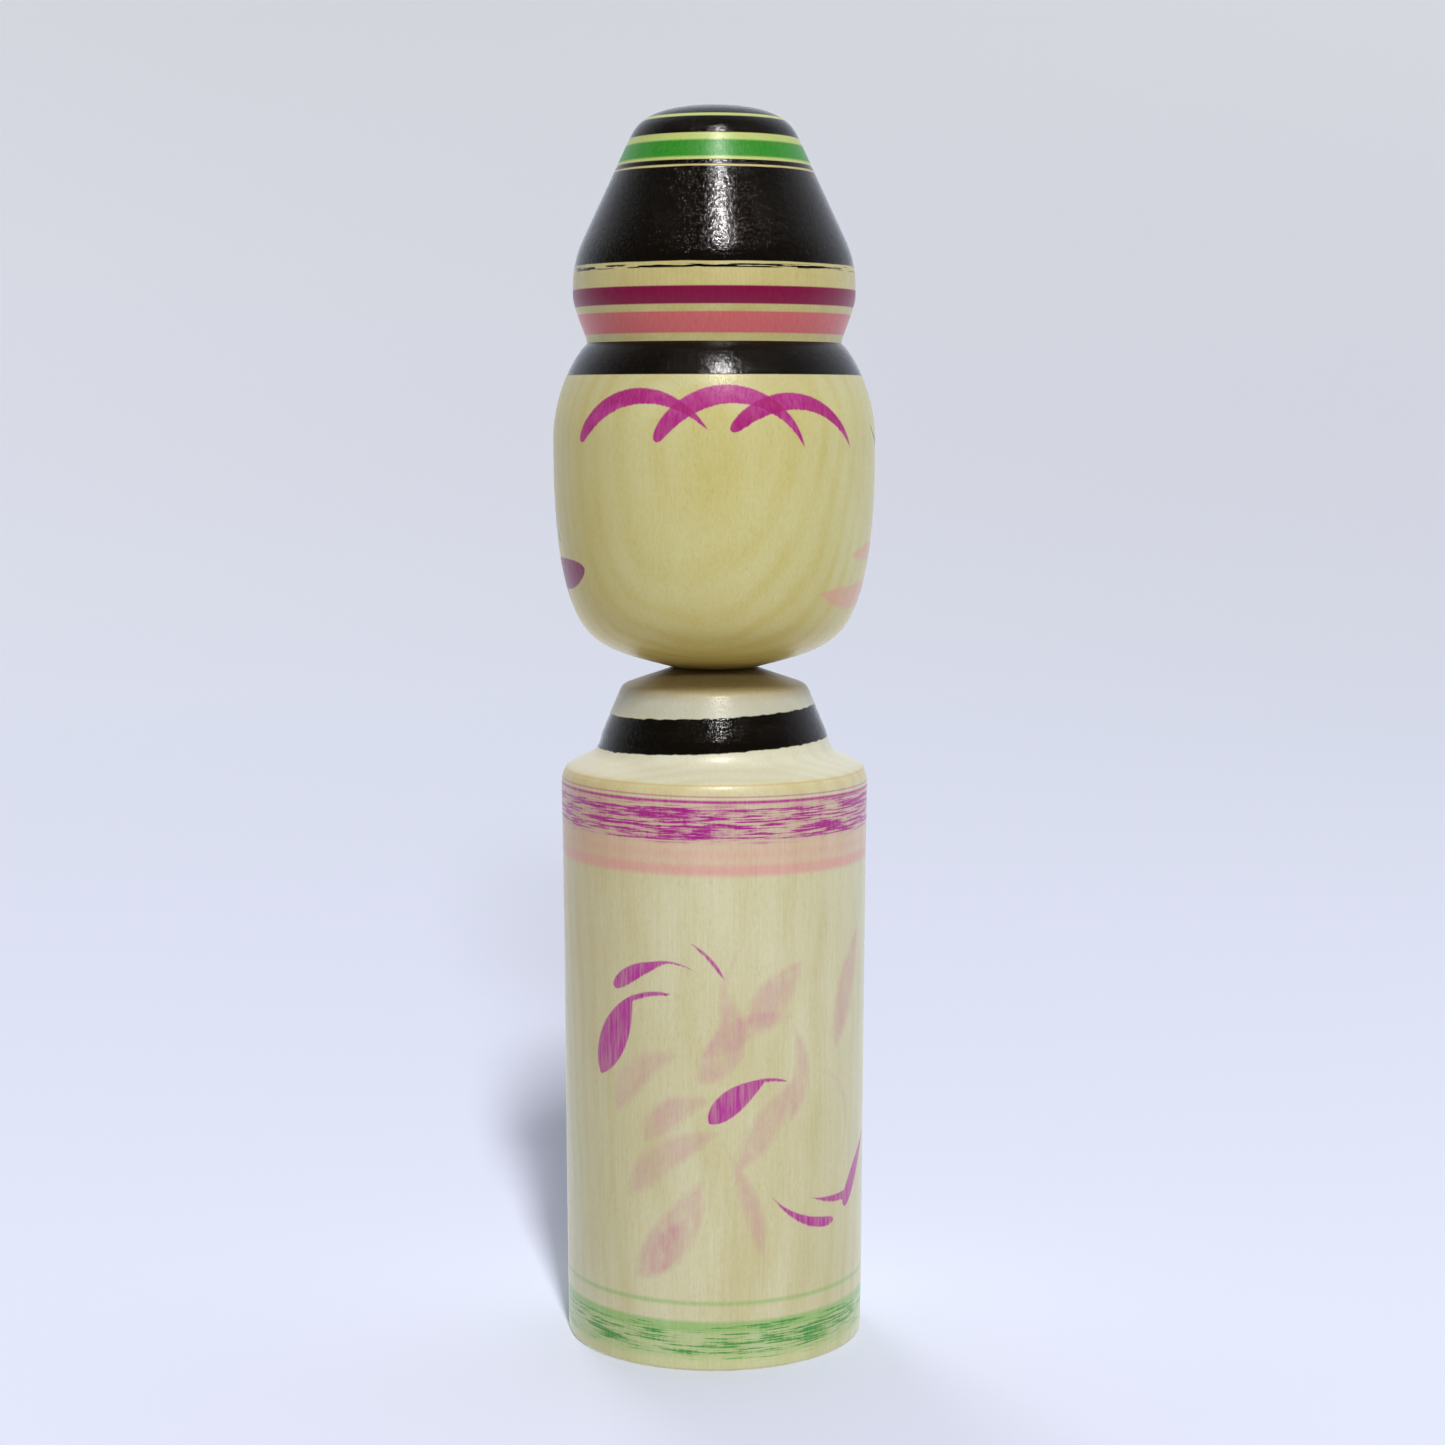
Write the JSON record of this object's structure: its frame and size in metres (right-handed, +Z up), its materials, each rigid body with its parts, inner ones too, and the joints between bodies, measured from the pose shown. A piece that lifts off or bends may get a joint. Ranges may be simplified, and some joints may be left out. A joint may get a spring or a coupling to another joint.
{
  "type": "kokeshi doll",
  "caption": "Turned wooden kokeshi doll: straight round trunk with a sloping neck, barrel-shaped head that turns on a captive neck pin, and a tall conical hat.",
  "frame": {"origin": "centre of the foot, on the surface that the doll stands on", "axes": "+Z up along the turning axis, +Y out of the face, +X to the right when looking along +Y"},
  "size_m": [0.063, 0.063, 0.2425],
  "materials": {
    "trunk_wood": "waxed pale wood, brushed with dye",
    "head_wood": "waxed pale wood, brushed with dye",
    "hat_wood": "glossy black dye with coloured bands",
    "pin_wood": "bare hardwood"
  },
  "bodies": {
    "trunk": {"trunk": "trunk_wood"},
    "head": {"head": "head_wood", "neck_pin": "pin_wood", "hat": "hat_wood", "hat_peg": "pin_wood"}
  },
  "joints": [
    {"name": "head_turn", "type": "hinge", "parent": "trunk", "child": "head", "pos_m": [0, 0, 0.1337], "axis": [0, 0, 1], "continuous": true}
  ]
}
